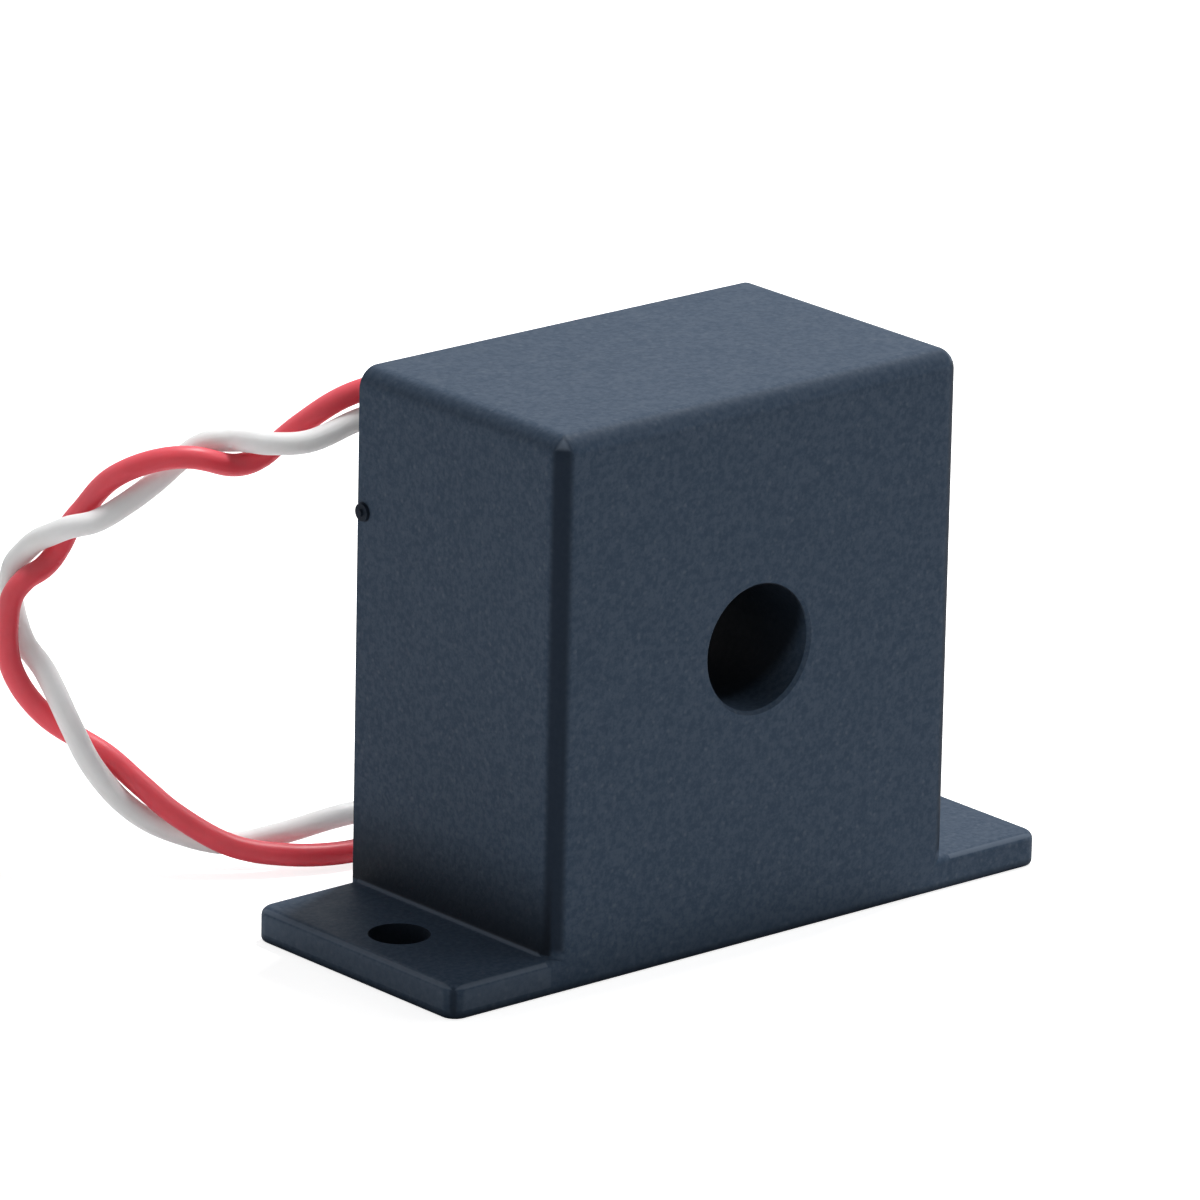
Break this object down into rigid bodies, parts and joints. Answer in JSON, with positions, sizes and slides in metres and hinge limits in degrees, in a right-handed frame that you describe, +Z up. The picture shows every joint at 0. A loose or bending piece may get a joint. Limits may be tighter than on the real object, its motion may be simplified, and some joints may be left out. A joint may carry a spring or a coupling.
{
  "type": "current transformer",
  "caption": "Small potted through-hole current transformer: upright rounded case on a base plate with screw feet, and a red and white twisted pair of leads out of its back.",
  "frame": {"origin": "centre of the case's base, on the surface that it stands on", "axes": "+X along the two feet, -Y out of the smooth front face along the primary hole, +Z up from the base"},
  "size_m": [0.0483, 0.0382, 0.0315],
  "materials": {
    "case_plastic": "fine matte moulded texture",
    "resin": "cast, glossy",
    "core_strip": "wound strip edges",
    "core_box": "moulded",
    "foam": "soft foam",
    "enamelled_wire": "enamelled copper",
    "tape": "polyester film",
    "tinned": "tinned copper",
    "shrink_sleeve": "shrunk sleeving",
    "red_insulation": "smooth extruded",
    "white_insulation": "smooth extruded"
  },
  "bodies": {
    "root": {"case": "case_plastic", "potting": "resin", "core": "core_strip", "core_cup": "core_box", "core_lid": "core_box", "core_pad": "foam", "winding": "enamelled_wire", "winding_tape": "tape", "start_tail": "enamelled_wire", "finish_tail": "enamelled_wire", "start_joint": "tinned", "finish_joint": "tinned", "start_sleeve": "shrink_sleeve", "finish_sleeve": "shrink_sleeve", "red_lead": "red_insulation", "white_lead": "white_insulation", "red_strands": "tinned", "white_strands": "tinned"}
  },
  "joints": []
}
